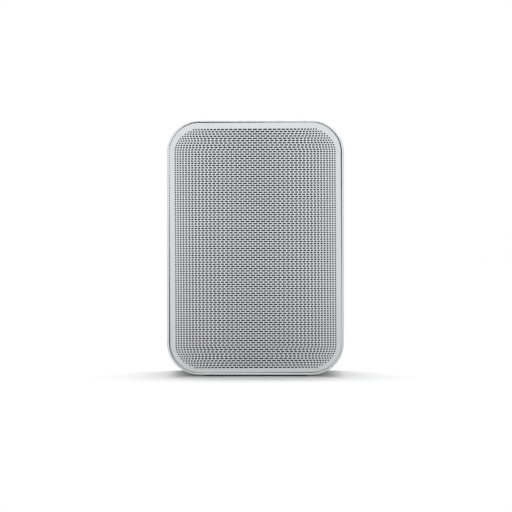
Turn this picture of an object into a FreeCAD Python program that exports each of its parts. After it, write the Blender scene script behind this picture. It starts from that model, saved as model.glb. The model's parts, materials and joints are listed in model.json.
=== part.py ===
"""A compact wireless streaming speaker: an upright rounded box with a perforated metal front.

Lengths are in millimetres. +Z is up, the front faces -Y, and the origin lies on the table under the middle.
"""

import FreeCAD
import Part

import math
import os

# Body
overall_width = 125.0
overall_height = 181.4
overall_depth = 70.0
corner_radius = 23.0
wall = 3.0
back_wall = 3.5
front_edge_radius = 0.85
mouth_edge_radius = 0.55
rear_edge_radius = 6.0

# Rubber pad under the body
pad_reveal = 1.2
pad_sink = 1.0
pad_side_inset = 1.5
pad_front_inset = 6.0
pad_rear_inset = 9.0
pad_corner_radius = 9.0

# Grille
grille_margin = 1.9
grille_gap = 0.4
grille_proud = 0.8
grille_sheet = 0.8
grille_return = 4.0
grille_edge_radius = 0.9
grille_border = 4.0
cloth_thickness = 0.3
frame_depth = 3.0
frame_width = 7.0
peg_radius = 2.0
peg_engagement = 2.8

# Slots of the grille: each stands for a block of three by three holes of the finer real pattern
slot_row_pitch = 4.9
slot_height = 2.85
slot_mean_pitch = 8.4
slot_land = 2.1
slot_stretch = 0.32

# Baffle
baffle_setback = 10.0
baffle_thickness = 4.0
driver_recess = 2.5
ledge_width = 7.0
ledge_thickness = 3.0
gasket_thickness = 0.8
driver_boss_length = 6.0

# Woofer, lengths along its axis counted back from the front of its flange
woofer_radius = 46.5
woofer_flange = 1.5
woofer_screw_circle = 43.2
woofer_screw_count = 4
basket_neck_radius = 38.0
basket_sheet = 1.2
basket_depth = 23.2
basket_floor_radius = 26.2
spider_depth = 15.6
spider_sheet = 0.4
spider_rise = 0.75
spider_roll_count = 4
spider_collar = 2.3
spider_radius = 28.0
surround_sheet = 0.5
surround_roll = 2.75
surround_land = 2.2
cone_radius = 32.3
cone_lip = 1.7
cone_depth = 12.0
cone_sheet = 0.8
cone_travel = 3.0
dust_cap_radius = 13.5
dust_cap_rise = 5.0
dust_cap_sheet = 0.5
coil_radius = 10.0
former_sheet = 0.3
former_length = 19.0
winding_sheet = 0.6
winding_length = 10.0
woofer_gap = 1.9
front_plate_thickness = 4.0
front_plate_radius = 28.0
magnet_bore = 15.0
magnet_radius = 31.0
coil_end_clearance = 3.0
back_plate_thickness = 4.0
pole_vent_radius = 2.5
basket_window_count = 6
basket_window_width = 20.0

# Tweeter
tweeter_radius = 26.0
tweeter_screw_circle = 22.8
tweeter_screw_count = 3
horn_mouth = 20.0
horn_throat = 15.0
horn_flare = 0.35
dome_radius = 12.4
dome_rise = 3.5
dome_sheet = 0.25
tweeter_surround_sheet = 0.4
tweeter_surround_roll = 0.9
tweeter_former_sheet = 0.25
tweeter_former_length = 3.3
tweeter_winding_sheet = 0.4
tweeter_winding_length = 2.0
tweeter_gap_clearance = 0.3
pole_plate_thickness = 2.0
tweeter_magnet_thickness = 5.0
cup_radius = 16.5
cup_floor = 2.5

# Circuit boards
board_thickness = 1.6
board_gap = 1.6
board_half_width = 46.0
main_board_height = 72.0
power_board_headroom = 15.6
standoff_radius = 3.5
standoff_inset = 4.0
power_part_share = 0.6
transformer_width = 26.0
transformer_height = 22.0
transformer_depth = 18.0
transformer_core = 8.0
transformer_core_step = 2.0
transformer_core_overhang = 3.0
capacitor_radius = 8.0
capacitor_length = 20.0
capacitor_edge_radius = 1.0
heatsink_width = 26.0
heatsink_height = 30.0
heatsink_depth = 14.0
heatsink_base = 3.0
heatsink_fin = 1.2
heatsink_fin_count = 7
radio_width = 20.0
radio_height = 16.0
radio_depth = 3.0
radio_corner_radius = 1.0
radio_edge_radius = 0.5

# Rear panel and its sockets
panel_side_margin = 10.5
panel_rise = 16.0
panel_height = 26.0
panel_thickness = 2.0
panel_recess = 0.4
panel_corner_radius = 4.0
panel_end = 8.0
panel_ledge = 3.0
socket_floor = 3.0
inlet_width = 20.0
inlet_height = 12.0
inlet_lobe_radius = 4.0
inlet_lobe_offset = 3.1
inlet_pin_radius = 1.2
inlet_pin_offset = 4.3
inlet_pin_setback = 1.5
jack_block = 10.0
jack_collar_radius = 3.8
jack_bore_radius = 1.8
usb_width = 13.2
usb_height = 5.8
usb_sheet = 0.5
usb_tongue_width = 10.6
usb_tongue_sheet = 1.9
ethernet_width = 16.0
ethernet_height = 13.6
ethernet_port_width = 11.9
ethernet_port_height = 7.0
ethernet_latch_width = 6.2
ethernet_latch_height = 2.4
guide_wall = 1.2

# Threaded insert for a bracket or stand
insert_radius = 5.0
insert_length = 10.0
insert_thread_radius = 3.175
insert_thread_length = 9.0
insert_recess = 0.3
insert_boss_wall = 3.0
insert_boss_floor = 1.5

# Keys on the top
key_panel_width = 66.0
key_panel_depth = 18.0
key_panel_thickness = 1.6
key_recess = 2.0
key_ledge = 2.6
key_pitch = 17.0
key_radius = 4.4
key_flange = 1.0
key_flange_thickness = 0.85
key_edge_radius = 0.6
key_dip = 0.1
key_travel = 0.5
key_pip_radius = 1.6
key_board_drop = 6.0
key_board_depth = 13.0
key_boss_radius = 3.0
key_boss_offset = 3.0
switch_side = 6.0
switch_height = 3.4
stem_radius = 1.75
stem_rise = 0.9
stem_seat = 1.0
light_pipe_x = 26.5
light_pipe_radius = 1.2
light_pipe_collar = 0.6
light_pipe_collar_height = 1.0
led_height = 0.8
led_side = 2.0

# Screws
baffle_screw_radius = 1.5
baffle_screw_length = 12.0
driver_screw_radius = 1.25
driver_screw_length = 7.0
board_screw_radius = 1.25
board_screw_length = 8.0
head_ratio = 1.75
head_height = 1.8
screw_relief = 0.5
boss_floor = 2.0

# Clearances
seat_clearance = 0.2
slide_clearance = 0.3
glue_line = 0.05
thread_clearance = 0.05

# How far cuts and bosses run past the face they meet
overrun = 1.0
boss_overlap = 0.5
tolerance = 1e-6

# Planes across the depth, front to back
front_y = -overall_depth / 2
back_y = overall_depth / 2
rim_y = front_y + grille_proud
cloth_front = front_y + grille_sheet
frame_front = cloth_front + cloth_thickness
frame_back = frame_front + frame_depth
baffle_front = front_y + baffle_setback
baffle_back = baffle_front + baffle_thickness
recess_floor = baffle_front + driver_recess
ledge_front = baffle_back + gasket_thickness
ledge_back = ledge_front + ledge_thickness
inner_back = back_y - back_wall
woofer_front = recess_floor - gasket_thickness - woofer_flange
front_plate_front = woofer_front + basket_depth
magnet_front = front_plate_front + front_plate_thickness
coil_front = woofer_front + cone_depth - cone_sheet
coil_end = coil_front + former_length
back_plate_front = coil_end + cone_travel + coil_end_clearance
woofer_back = back_plate_front + back_plate_thickness
board_front = woofer_back + board_gap
board_back = board_front + board_thickness
panel_face = back_y - panel_recess
panel_back = panel_face - panel_thickness
insert_face = back_y - insert_recess
insert_end = insert_face - insert_length

# Widths and heights
body_bottom = pad_reveal
body_top = overall_height
body_height = body_top - body_bottom
body_middle = (body_bottom + body_top) / 2
inner_top = body_top - wall
grille_width = overall_width - 2 * grille_margin
grille_height = body_height - 2 * grille_margin
grille_corner = corner_radius - grille_margin
mouth_width = grille_width + 2 * grille_gap
mouth_height = grille_height + 2 * grille_gap
mouth_corner = grille_corner + grille_gap
frame_outer_inset = grille_sheet + seat_clearance
peg_x = grille_width / 2 - frame_outer_inset - frame_width / 2
peg_z = grille_height / 2 - frame_outer_inset - frame_width / 2
driver_gap = (mouth_height - 2 * woofer_radius - 2 * tweeter_radius) / 3
woofer_z = body_middle - mouth_height / 2 + driver_gap + woofer_radius
tweeter_z = woofer_z + woofer_radius + driver_gap + tweeter_radius
panel_width = overall_width - 2 * panel_side_margin
panel_z = body_bottom + panel_rise + panel_height / 2
window_width = panel_width - 2 * panel_end
window_height = panel_height - 2 * panel_ledge
main_board_bottom = panel_z - panel_height / 2
main_board_top = main_board_bottom + main_board_height
insert_boss_radius = insert_radius + insert_boss_wall
mount_z = main_board_top + insert_boss_radius + board_gap
power_board_bottom = mount_z + insert_boss_radius + board_gap
power_board_height = inner_top - power_board_headroom - power_board_bottom
power_board_z = power_board_bottom + power_board_height / 2

# Keys, top to bottom
key_floor = body_top - key_recess
key_board_top = inner_top - key_board_drop
key_board_bottom = key_board_top - board_thickness
switch_top = key_board_top + switch_height
stem_top = switch_top + stem_rise
key_boss_x = key_panel_width / 2 + key_boss_offset

# Places that repeat, as offsets from the middle of the front
side_screw_x = mouth_width / 2 - ledge_width / 2
end_screw_z = mouth_height / 2 - ledge_width / 2
side_spread = 0.3 * mouth_height
peg_side_spread = 0.2 * mouth_height
peg_end_spread = 0.2 * mouth_width
baffle_screw_places = [(sx * side_screw_x, body_middle + row * side_spread)
                       for sx in (-1, 1) for row in (-1, 0, 1)]
baffle_screw_places += [(0.0, body_middle + sz * end_screw_z) for sz in (-1, 1)]
peg_places = [(sx * peg_x, body_middle + sz * peg_side_spread) for sx in (-1, 1) for sz in (-1, 1)]
peg_places += [(sx * peg_end_spread, body_middle + sz * peg_z) for sx in (-1, 1) for sz in (-1, 1)]
standoff_x = board_half_width - standoff_inset
main_standoffs = [(sx * standoff_x, z) for sx in (-1, 1)
                  for z in (panel_z + panel_height / 2 + 2 * standoff_inset, main_board_top - standoff_inset)]
power_standoffs = [(sx * standoff_x, power_board_z + sz * (power_board_height / 2 - standoff_inset))
                   for sx in (-1, 1) for sz in (-1, 1)]
panel_screw_places = [(sx * (panel_width - panel_end) / 2, panel_z) for sx in (-1, 1)]
key_names = ("volume_down", "play", "volume_up")
key_places = [(index - 1) * key_pitch for index in range(len(key_names))]


def on_circle(radius, count, middle_z, first_deg):
    """Places on a circle in the front view, the first at an angle from +X."""
    turns = [math.radians(first_deg + 360.0 * index / count) for index in range(count)]
    return [(radius * math.cos(turn), middle_z + radius * math.sin(turn)) for turn in turns]


woofer_screw_places = on_circle(woofer_screw_circle, woofer_screw_count, woofer_z, 180.0 / woofer_screw_count)
tweeter_screw_places = on_circle(tweeter_screw_circle, tweeter_screw_count, tweeter_z, 90.0)


# Shapes

def point(x, y, z=0.0):
    return FreeCAD.Vector(x, y, z)


def outline(width, height, radius):
    """A rounded rectangle in the XZ plane, about the origin."""
    x = width / 2 - radius
    z = height / 2 - radius
    edges = []
    for quarter, (cx, cz) in enumerate([(x, z), (-x, z), (-x, -z), (x, -z)]):
        turns = [math.radians(90.0 * quarter + step) for step in (0.0, 45.0, 90.0)]
        start, middle, end = [point(cx + radius * math.cos(t), 0.0, cz + radius * math.sin(t)) for t in turns]
        if edges and (start - edges[-1].lastVertex().Point).Length > tolerance:
            edges.append(Part.makeLine(edges[-1].lastVertex().Point, start))
        edges.append(Part.Arc(start, middle, end).toShape())
    if (edges[0].firstVertex().Point - edges[-1].lastVertex().Point).Length > tolerance:
        edges.append(Part.makeLine(edges[-1].lastVertex().Point, edges[0].firstVertex().Point))
    return Part.Wire(edges)


def slab(width, height, radius, y0, y1, x=0.0, z=0.0):
    """A rounded plate that faces the front, from y0 back to y1."""
    solid = Part.Face(outline(width, height, radius)).extrude(point(0.0, y1 - y0))
    solid.translate(point(x, y0, z))
    return solid


def lying(width, depth, radius, z0, z1, x=0.0, y=0.0):
    """A rounded plate that lies flat, from z0 up to z1."""
    solid = slab(width, depth, radius, 0.0, z1 - z0)
    solid.rotate(point(0, 0), point(1, 0), 90.0)
    solid.translate(point(x, y, z0))
    return solid


def block(width, height, y0, y1, x=0.0, z=0.0):
    """A square-cornered block, centred on x and z, from y0 back to y1."""
    return Part.makeBox(width, y1 - y0, height, point(x - width / 2, y0, z - height / 2))


def rod(radius, y0, y1, x=0.0, z=0.0):
    return Part.makeCylinder(radius, y1 - y0, point(x, y0, z), point(0, 1))


def ring(inner, outer, y0, y1, x=0.0, z=0.0):
    return rod(outer, y0, y1, x, z).cut(rod(inner, y0, y1, x, z))


def post(radius, z0, z1, x=0.0, y=0.0):
    return Part.makeCylinder(radius, z1 - z0, point(x, y, z0))


def turned(edges, z=0.0):
    """A solid of revolution about an axis along Y at height z. Edges are drawn as (radius, y)."""
    solid = Part.Face(Part.Wire(edges)).revolve(point(0, 0), point(0, 1), 360.0)
    solid.translate(point(0.0, 0.0, z))
    return Part.Solid(solid)


def path(*places):
    """Straight edges from place to place."""
    return [Part.makeLine(point(*a), point(*b)) for a, b in zip(places, places[1:])]


def arc(start, middle, end):
    return Part.Arc(point(*start), point(*middle), point(*end)).toShape()


def dome_arc(radius, edge_y, apex_y):
    """The arc of a spherical cap, from its edge to its apex on the axis."""
    rise = edge_y - apex_y
    sphere = (radius ** 2 + rise ** 2) / (2 * rise)
    half_turn = math.asin(radius / sphere) / 2
    middle = (sphere * math.sin(half_turn), apex_y + sphere * (1 - math.cos(half_turn)))
    return arc((radius, edge_y), middle, (0.0, apex_y))


def edges_at(solid, y):
    """The edges of a solid that lie wholly in the plane at depth y."""
    return [edge for edge in solid.Edges if max(abs(v.Point.y - y) for v in edge.Vertexes) < tolerance
            and abs(edge.CenterOfMass.y - y) < tolerance]


def edges_at_height(solid, z):
    return [edge for edge in solid.Edges
            if max(abs(edge.BoundBox.ZMin - z), abs(edge.BoundBox.ZMax - z)) < tolerance]


def screw(radius, length, seat_y, x, z):
    """A pan-head screw along Y. Its head stands in front of seat_y, and its shank runs to the back."""
    head = radius * head_ratio
    crown = head_height / 2
    edges = path((0.0, length), (radius, length), (radius, 0.0), (head, 0.0), (head, -crown))
    edges.append(dome_arc(head, -crown, -head_height))
    edges += path((0.0, -head_height), (0.0, length))
    solid = turned(edges)
    solid.translate(point(x, seat_y, z))
    return solid


def countersunk(radius, length, growth, face_y, x, z):
    """A countersunk screw that goes in from the back, flush with face_y, or its hole when it is grown."""
    head = radius * head_ratio + growth
    neck = radius + growth
    edges = path((0.0, 0.0), (head, 0.0), (neck, neck - head), (neck, -length), (0.0, -length), (0.0, 0.0))
    solid = turned(edges)
    solid.translate(point(x, face_y, z))
    return solid


# Casework

def cabinet_holes():
    """Everything that is cut from the cabinet after its bosses are on."""
    baffle_hole_end = baffle_front + baffle_screw_length + screw_relief
    board_hole_end = board_front + board_screw_length + screw_relief
    panel_hole_end = panel_face - board_screw_length - screw_relief
    key_hole_end = key_board_bottom + board_screw_length + screw_relief
    board_hole = board_screw_radius + thread_clearance
    holes = [rod(baffle_screw_radius + thread_clearance, ledge_front, baffle_hole_end, x, z)
             for x, z in baffle_screw_places]
    holes += [rod(board_hole, board_back, board_hole_end, x, z) for x, z in main_standoffs + power_standoffs]
    holes += [rod(board_hole, panel_hole_end, panel_back, x, z) for x, z in panel_screw_places]
    holes.append(slab(panel_width + 2 * seat_clearance, panel_height + 2 * seat_clearance,
                      panel_corner_radius + seat_clearance, panel_back, back_y + overrun, z=panel_z))
    holes.append(block(window_width, window_height, inner_back - overrun, back_y, z=panel_z))
    holes.append(rod(insert_radius + glue_line, insert_end, back_y + overrun, 0.0, mount_z))
    holes.append(lying(key_panel_width + 2 * seat_clearance, key_panel_depth + 2 * seat_clearance,
                       key_panel_depth / 2 + seat_clearance, key_floor, body_top + overrun))
    holes.append(lying(key_panel_width - 2 * key_ledge, key_panel_depth - 2 * key_ledge,
                       key_panel_depth / 2 - key_ledge, inner_top - overrun, body_top))
    holes += [post(board_hole, key_board_top, key_hole_end, side * key_boss_x) for side in (-1, 1)]
    holes.append(pad_outline(seat_clearance, body_bottom - overrun, body_bottom + pad_sink))
    return holes


def cabinet_bosses():
    baffle_boss_end = baffle_front + baffle_screw_length + screw_relief + boss_floor
    panel_boss_end = panel_face - board_screw_length - screw_relief - boss_floor
    wall_end = inner_back + boss_overlap
    bosses = [rod(ledge_width / 2, ledge_front, baffle_boss_end, x, z) for x, z in baffle_screw_places]
    bosses += [rod(standoff_radius, board_back, wall_end, x, z) for x, z in main_standoffs + power_standoffs]
    bosses += [rod(standoff_radius, panel_boss_end, wall_end, x, z) for x, z in panel_screw_places]
    bosses.append(rod(insert_boss_radius, insert_end - insert_boss_floor, wall_end, 0.0, mount_z))
    bosses += [post(key_boss_radius, key_board_top, inner_top + boss_overlap, side * key_boss_x)
               for side in (-1, 1)]
    return bosses


def on_mouth(edge):
    """True for an edge of the rim that runs round the mouth."""
    return all(abs(end.X) < mouth_width / 2 + tolerance
               and abs(end.Z - body_middle) < mouth_height / 2 + tolerance for end in edge.Vertexes)


def cabinet():
    """The moulded tub: four walls and a back, with a ledge inside the mouth for the baffle."""
    shell = slab(overall_width, body_height, corner_radius, rim_y, back_y, z=body_middle)
    shell = shell.makeFillet(rear_edge_radius, edges_at(shell, back_y))
    shell = shell.makeFillet(front_edge_radius, edges_at(shell, rim_y))
    mouth = slab(mouth_width, mouth_height, mouth_corner, front_y, ledge_front, z=body_middle)
    throat = slab(mouth_width - 2 * ledge_width, mouth_height - 2 * ledge_width, mouth_corner - ledge_width,
                  ledge_front, ledge_back, z=body_middle)
    hollow = slab(overall_width - 2 * wall, body_height - 2 * wall, corner_radius - wall,
                  ledge_back, inner_back, z=body_middle)
    hollow = hollow.makeFillet(rear_edge_radius - wall, edges_at(hollow, inner_back))
    shell = shell.cut([mouth, throat, hollow])
    shell = shell.makeFillet(mouth_edge_radius, [edge for edge in edges_at(shell, rim_y) if on_mouth(edge)])
    shell = shell.fuse(cabinet_bosses())
    return shell.cut(cabinet_holes()).removeSplitter()


def pad_outline(growth, z0, z1):
    front = rim_y + pad_front_inset
    rear = back_y - pad_rear_inset
    width = overall_width - 2 * corner_radius - 2 * pad_side_inset
    return lying(width + 2 * growth, rear - front + 2 * growth, pad_corner_radius + growth, z0, z1,
                 y=(front + rear) / 2)


def base_pad():
    return pad_outline(0.0, 0.0, body_bottom + pad_sink)


def baffle_plate(inset, y0, y1):
    return slab(mouth_width - 2 * inset, mouth_height - 2 * inset, mouth_corner - inset, y0, y1,
                z=body_middle)


def front_baffle():
    """The moulded front plate that carries both drivers and takes the grille's pegs."""
    plate = baffle_plate(seat_clearance, baffle_front, baffle_back)
    driver_bosses = woofer_screw_places + tweeter_screw_places
    plate = plate.fuse([rod(standoff_radius, recess_floor, baffle_back + driver_boss_length, x, z)
                        for x, z in driver_bosses])
    cuts = [rod(woofer_radius + seat_clearance, baffle_front, recess_floor, 0.0, woofer_z),
            rod(basket_neck_radius + slide_clearance, baffle_front, ledge_back, 0.0, woofer_z),
            rod(tweeter_radius + seat_clearance, baffle_front, recess_floor, 0.0, tweeter_z),
            rod(cup_radius + slide_clearance, baffle_front, ledge_back, 0.0, tweeter_z)]
    driver_hole_end = woofer_front + driver_screw_length + screw_relief
    cuts += [rod(driver_screw_radius + thread_clearance, recess_floor, driver_hole_end, x, z)
             for x, z in driver_bosses]
    head_hole = baffle_screw_radius * head_ratio + slide_clearance
    for x, z in baffle_screw_places:
        cuts.append(rod(head_hole, baffle_front, baffle_front + head_height, x, z))
        cuts.append(rod(baffle_screw_radius + seat_clearance, baffle_front, baffle_back, x, z))
    peg_hole_end = baffle_front + peg_engagement + seat_clearance
    cuts += [rod(peg_radius + seat_clearance, baffle_front, peg_hole_end, x, z) for x, z in peg_places]
    return plate.cut(cuts).removeSplitter()


def baffle_gasket():
    band = baffle_plate(seat_clearance, baffle_back, ledge_front)
    hollow = baffle_plate(ledge_width - seat_clearance, baffle_back, ledge_front)
    holes = [rod(baffle_screw_radius + seat_clearance, baffle_back, ledge_front, x, z)
             for x, z in baffle_screw_places]
    return band.cut([hollow] + holes)


def baffle_screws():
    seat = baffle_front + head_height
    length = baffle_screw_length - head_height
    return [screw(baffle_screw_radius, length, seat, x, z) for x, z in baffle_screw_places]


# Grille

def grille_plate(inset, y0, y1):
    return slab(grille_width - 2 * inset, grille_height - 2 * inset, grille_corner - inset, y0, y1,
                z=body_middle)


def field_half_width(z):
    """Half the width of the slotted field at a height above its middle; its corners are round."""
    half_width = grille_width / 2 - grille_border
    radius = grille_corner - grille_border
    into_corner = max(0.0, abs(z) - (grille_height / 2 - grille_border - radius))
    return half_width - radius + math.sqrt(max(0.0, radius ** 2 - into_corner ** 2))


def slot_row(half_width, spaces):
    """Slot middles and lengths along a row: long in the middle and short towards the ends."""
    end_share = (1 - slot_stretch) / spaces
    reach = (half_width + slot_land / 2) / (1 + end_share)
    row = []
    for index in range(spaces + 1):
        u = 2.0 * index / spaces - 1
        middle = reach * (u + slot_stretch * math.sin(math.pi * u) / math.pi)
        pitch = reach * (1 + slot_stretch * math.cos(math.pi * u)) * 2 / spaces
        row.append((middle, pitch - slot_land))
    return row


def grille_slots():
    """Rows of slots, staggered by one slot more or less in every other row."""
    half_height = grille_height / 2 - grille_border - slot_height / 2
    gaps = int(2 * half_height / slot_row_pitch)
    slots = []
    for row in range(gaps + 1):
        z = (row - gaps / 2) * slot_row_pitch
        half_width = field_half_width(abs(z) + slot_height / 2)
        spaces = 2 * round(half_width / slot_mean_pitch) - row % 2
        slots += [block(length, slot_height, front_y, cloth_front, x, body_middle + z)
                  for x, length in slot_row(half_width, spaces)]
    return slots


def front_grille():
    """A pressed sheet with a rolled edge that turns back round its frame."""
    sheet = grille_plate(0.0, front_y, front_y + grille_return)
    sheet = sheet.makeFillet(grille_edge_radius, edges_at(sheet, front_y))
    sheet = sheet.cut(grille_plate(grille_sheet, cloth_front, front_y + grille_return))
    return sheet.cut(grille_slots())


def grille_cloth():
    return grille_plate(frame_outer_inset, cloth_front, frame_front)


def grille_frame():
    """The moulded frame behind the cloth, with pegs that push into the baffle."""
    band = grille_plate(frame_outer_inset, frame_front, frame_back)
    band = band.cut(grille_plate(frame_outer_inset + frame_width, frame_front, frame_back))
    root = frame_front + frame_depth / 2
    pegs = [rod(peg_radius, root, baffle_front + peg_engagement, x, z) for x, z in peg_places]
    return band.fuse(pegs).removeSplitter()


# Woofer

def woofer_basket():
    """Pressed steel: a flange, a conical wall with windows, a step for the spider and a floor."""
    y = woofer_front
    step = y + spider_depth
    floor = y + basket_depth
    inner_floor = basket_floor_radius - basket_sheet
    wall_foot = spider_radius + basket_sheet
    bore = coil_radius + former_sheet + woofer_gap
    edges = path((basket_neck_radius - basket_sheet, y), (wall_foot, step), (inner_floor, step),
                 (inner_floor, floor - basket_sheet), (bore, floor - basket_sheet), (bore, floor),
                 (basket_floor_radius, floor), (basket_floor_radius, step + basket_sheet),
                 (wall_foot + basket_sheet, step + basket_sheet), (basket_neck_radius, y + woofer_flange),
                 (woofer_radius, y + woofer_flange),
                 (woofer_radius, y), (basket_neck_radius - basket_sheet, y))
    basket = turned(edges, woofer_z)
    window_top = y + woofer_flange + 2 * basket_sheet
    window_foot = step - 2 * basket_sheet
    windows = []
    for index in range(basket_window_count):
        window = Part.makeBox(woofer_radius, window_foot - window_top, basket_window_width,
                              point(coil_radius, window_top, woofer_z - basket_window_width / 2))
        window.rotate(point(0, 0, woofer_z), point(0, 1), 360.0 * index / basket_window_count)
        windows.append(window)
    holes = [rod(driver_screw_radius + seat_clearance, y, y + woofer_flange, x, z)
             for x, z in woofer_screw_places]
    return basket.cut(windows + holes)


def woofer_gasket():
    seal = ring(basket_neck_radius + slide_clearance, woofer_radius,
                woofer_front + woofer_flange, recess_floor, z=woofer_z)
    return seal.cut([rod(driver_screw_radius + seat_clearance, woofer_front, recess_floor, x, z)
                     for x, z in woofer_screw_places])


def woofer_screws():
    return [screw(driver_screw_radius, driver_screw_length, woofer_front, x, z)
            for x, z in woofer_screw_places]


def cone_slope():
    return cone_depth / (cone_radius - cone_lip - cone_neck())


def cone_neck():
    return coil_radius + former_sheet + glue_line


def cone_front(radius):
    """Depth of the cone's front face at a radius."""
    return woofer_front + cone_depth - (radius - cone_neck()) * cone_slope()


def woofer_cone():
    shoulder = cone_radius - cone_lip
    neck = cone_neck()
    front = [(cone_radius, woofer_front), (shoulder, woofer_front), (neck, woofer_front + cone_depth)]
    back = [(radius, y + cone_sheet) for radius, y in reversed(front)]
    return turned(path(*front, *back, front[0]), woofer_z)


def woofer_dust_cap():
    inner = dust_cap_radius - dust_cap_sheet
    apex = cone_front(dust_cap_radius) - dust_cap_rise
    edges = [dome_arc(dust_cap_radius, cone_front(dust_cap_radius), apex)]
    edges += path((0.0, apex), (0.0, apex + dust_cap_sheet))
    edges.append(dome_arc(inner, cone_front(inner), apex + dust_cap_sheet))
    edges += path((inner, cone_front(inner)), (dust_cap_radius, cone_front(dust_cap_radius)))
    return turned(edges, woofer_z)


def half_roll(inner, middle, outer, back, sheet, roll, z):
    """A ring with a flat land on each side and a half roll between them that stands forward."""
    front = back - sheet
    small = roll - sheet
    foot = math.sqrt(roll ** 2 - sheet ** 2)
    edges = path((inner, back), (middle - small, back))
    edges.append(arc((middle - small, back), (middle, back - small), (middle + small, back)))
    edges += path((middle + small, back), (outer, back), (outer, front), (middle + foot, front))
    edges.append(arc((middle + foot, front), (middle, back - roll), (middle - foot, front)))
    edges += path((middle - foot, front), (inner, front), (inner, back))
    return turned(edges, z)


def woofer_surround():
    inner = cone_radius - cone_lip + glue_line
    middle = cone_radius + seat_clearance + surround_roll
    return half_roll(inner, middle, middle + surround_roll + surround_land, woofer_front, surround_sheet,
                     surround_roll, woofer_z)


def woofer_spider():
    """The corrugated centring disc: rolls that stand forward and back by turns."""
    land_start = coil_radius + former_sheet + glue_line
    rolls_end = basket_floor_radius - basket_sheet - slide_clearance
    first = land_start + spider_collar
    pitch = (rolls_end - first) / spider_roll_count
    back = woofer_front + spider_depth
    lower = []
    upper = []
    for index in range(spider_roll_count):
        a = first + pitch * index
        b = a + pitch
        middle = (a + b) / 2
        crest = back - spider_rise if index % 2 == 0 else back + spider_rise
        lower.append(arc((a, back), (middle, crest), (b, back)))
        upper.append(arc((a, back - spider_sheet), (middle, crest - spider_sheet), (b, back - spider_sheet)))
    edges = path((land_start, back), (first, back)) + lower
    edges += path((rolls_end, back), (spider_radius, back), (spider_radius, back - spider_sheet),
                  (rolls_end, back - spider_sheet))
    edges += list(reversed(upper))
    edges += path((first, back - spider_sheet), (land_start, back - spider_sheet), (land_start, back))
    return turned(Part.__sortEdges__(edges), woofer_z)


def woofer_coil_former():
    return ring(coil_radius, coil_radius + former_sheet, coil_front, coil_end, z=woofer_z)


def woofer_coil_winding():
    inner = coil_radius + former_sheet
    return ring(inner, inner + winding_sheet, coil_end - winding_length, coil_end, z=woofer_z)


def woofer_front_plate():
    bore = coil_radius + former_sheet + woofer_gap - winding_sheet
    return ring(bore, front_plate_radius, front_plate_front, magnet_front, z=woofer_z)


def woofer_magnet():
    return ring(magnet_bore, magnet_radius, magnet_front, back_plate_front, z=woofer_z)


def woofer_yoke():
    """The back plate with its pole, bored through to vent the dust cap."""
    plate = rod(front_plate_radius, back_plate_front, woofer_back, z=woofer_z)
    pole = rod(coil_radius - slide_clearance - seat_clearance, front_plate_front, woofer_back, z=woofer_z)
    vent = rod(pole_vent_radius, front_plate_front, woofer_back, z=woofer_z)
    return plate.fuse(pole).cut(vent).removeSplitter()


# Tweeter

def tweeter_planes():
    """Front of the faceplate, its back, and the front of the motor."""
    return baffle_front, recess_floor, recess_floor + tweeter_surround_sheet


def tweeter_faceplate():
    front, back, _ = tweeter_planes()
    edges = path((horn_throat, back), (tweeter_radius, back), (tweeter_radius, front), (horn_mouth, front))
    bend = (horn_throat + horn_flare * (horn_mouth - horn_throat), (front + back) / 2)
    edges.append(arc((horn_mouth, front), bend, (horn_throat, back)))
    plate = turned(edges, tweeter_z)
    return plate.cut([rod(driver_screw_radius + seat_clearance, front, back, x, z)
                      for x, z in tweeter_screw_places])


def tweeter_dome():
    _, back, _ = tweeter_planes()
    inner = dome_radius - dome_sheet
    apex = back - dome_rise
    edges = [dome_arc(dome_radius, back, apex)] + path((0.0, apex), (0.0, apex + dome_sheet))
    edges.append(dome_arc(inner, back, apex + dome_sheet))
    edges += path((inner, back), (dome_radius, back))
    return turned(edges, tweeter_z)


def tweeter_surround():
    _, _, motor = tweeter_planes()
    inner = dome_radius + glue_line
    middle = inner + seat_clearance + tweeter_surround_roll
    return half_roll(inner, middle, cup_radius, motor, tweeter_surround_sheet, tweeter_surround_roll,
                     tweeter_z)


def tweeter_coil_former():
    _, back, _ = tweeter_planes()
    return ring(dome_radius - tweeter_former_sheet, dome_radius, back, back + tweeter_former_length,
                z=tweeter_z)


def tweeter_coil_winding():
    _, back, _ = tweeter_planes()
    end = back + tweeter_former_length
    return ring(dome_radius, dome_radius + tweeter_winding_sheet, end - tweeter_winding_length, end,
                z=tweeter_z)


def tweeter_pole_plate():
    _, _, motor = tweeter_planes()
    radius = dome_radius - tweeter_former_sheet - tweeter_gap_clearance
    return rod(radius, motor, motor + pole_plate_thickness, z=tweeter_z)


def tweeter_magnet():
    _, _, motor = tweeter_planes()
    radius = dome_radius - tweeter_former_sheet - 3 * tweeter_gap_clearance
    front = motor + pole_plate_thickness
    return rod(radius, front, front + tweeter_magnet_thickness, z=tweeter_z)


def tweeter_cup():
    _, _, motor = tweeter_planes()
    floor = motor + pole_plate_thickness + tweeter_magnet_thickness
    bore = dome_radius + tweeter_winding_sheet + tweeter_gap_clearance
    return rod(cup_radius, motor, floor + cup_floor, z=tweeter_z).cut(rod(bore, motor, floor, z=tweeter_z))


def tweeter_screws():
    return [screw(driver_screw_radius, driver_screw_length, baffle_front, x, z)
            for x, z in tweeter_screw_places]


# Circuit boards

def board(bottom, height, places):
    plate = block(2 * board_half_width, height, board_front, board_back, z=bottom + height / 2)
    return plate.cut([rod(board_screw_radius + seat_clearance, board_front, board_back, x, z)
                      for x, z in places])


def board_screws(places):
    return [screw(board_screw_radius, board_screw_length, board_front, x, z) for x, z in places]


def radio_module():
    """The shield can of the network radio, on the back of the main board."""
    can = slab(radio_width, radio_height, radio_corner_radius, board_back, board_back + radio_depth,
               board_half_width / 2, main_board_top - radio_height / 2 - standoff_inset)
    return can.makeFillet(radio_edge_radius, edges_at(can, board_back + radio_depth))


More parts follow.
